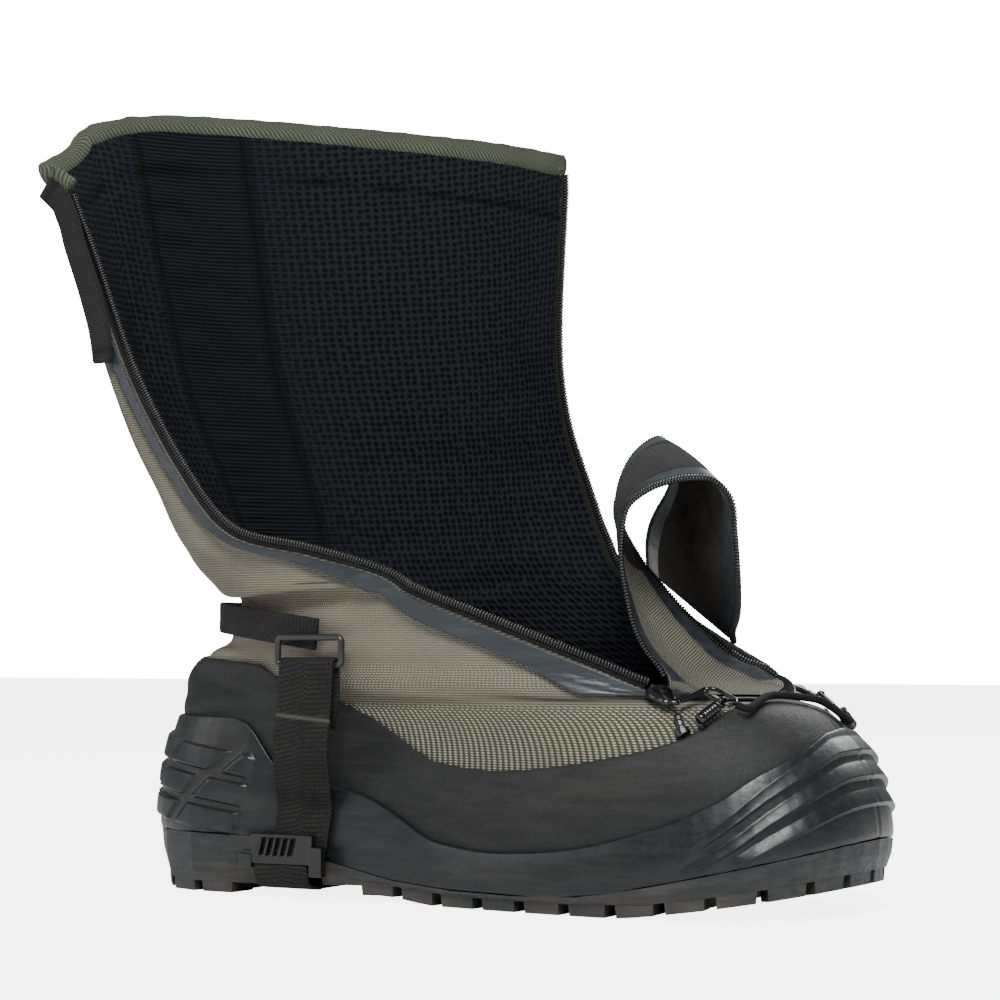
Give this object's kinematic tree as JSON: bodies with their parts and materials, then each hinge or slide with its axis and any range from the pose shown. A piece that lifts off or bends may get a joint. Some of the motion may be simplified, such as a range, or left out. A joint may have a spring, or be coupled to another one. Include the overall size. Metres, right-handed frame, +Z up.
{
  "type": "winter overshoe",
  "caption": "Right winter overshoe with a moulded rubber sole and shell, a tall open cloth shaft with two zips, a folded-out tongue and an ankle strap.",
  "frame": {"origin": "middle of the flat heel lug, on the floor", "axes": "+X along the sole towards the toe, -Y towards the outer side of the foot, +Z up"},
  "size_m": [0.4028, 0.1615, 0.3787],
  "materials": {
    "outsole": "rough moulded rubber",
    "shell": "satin moulded rubber",
    "insole": "dark lining cloth",
    "upper": "olive woven nylon",
    "rand": "matt rubberised cloth",
    "binding": "olive-dark rolled cloth edge",
    "flap": "black cloth",
    "tongue": "olive woven nylon",
    "cord": "black braided cord",
    "webbing": "black woven webbing",
    "zip_tape": "coated slate tape",
    "zip_coil": "matt nylon coil",
    "zip_fitting": "gloss black plastic",
    "pull_tab": "gloss black plastic",
    "ring": "black enamelled wire",
    "buckle": "gloss black plastic"
  },
  "bodies": {
    "root": {"ankle_strap": "webbing", "buckle_inner": "buckle", "buckle_outer": "buckle", "collar_binding": "binding", "collar_tab": "flap", "insole": "insole", "outsole": "outsole", "pull_cord": "cord", "rand": "rand", "shell": "shell", "side_strap_inner": "webbing", "side_strap_outer": "webbing", "strap_ring_inner": "ring", "strap_ring_outer": "ring", "tongue": "tongue", "underfoot_strap": "webbing", "upper": "upper", "zip_coil_shaft_inner": "zip_coil", "zip_coil_shaft_outer": "zip_coil", "zip_coil_tongue_inner": "zip_coil", "zip_coil_tongue_outer": "zip_coil", "zip_end_inner": "zip_fitting", "zip_end_outer": "zip_fitting", "zip_link_inner": "zip_fitting", "zip_link_outer": "zip_fitting", "zip_slider_inner": "zip_fitting", "zip_slider_outer": "zip_fitting", "zip_tape_inner": "zip_tape", "zip_tape_outer": "zip_tape"},
    "tab_outer": {"pull_tab_outer": "pull_tab"},
    "tab_inner": {"pull_tab_inner": "pull_tab"}
  },
  "joints": [
    {"name": "tab_outer_swing", "type": "hinge", "parent": "root", "child": "tab_outer", "pos_m": [0.24754, -0.03727, 0.0874], "axis": [-0.9077, 0.2076, 0.3647], "range_deg": [0, 90]},
    {"name": "tab_inner_swing", "type": "hinge", "parent": "root", "child": "tab_inner", "pos_m": [0.27496, 0.02589, 0.08255], "axis": [0.7771, -0.2585, -0.5739], "range_deg": [0, 90]}
  ]
}
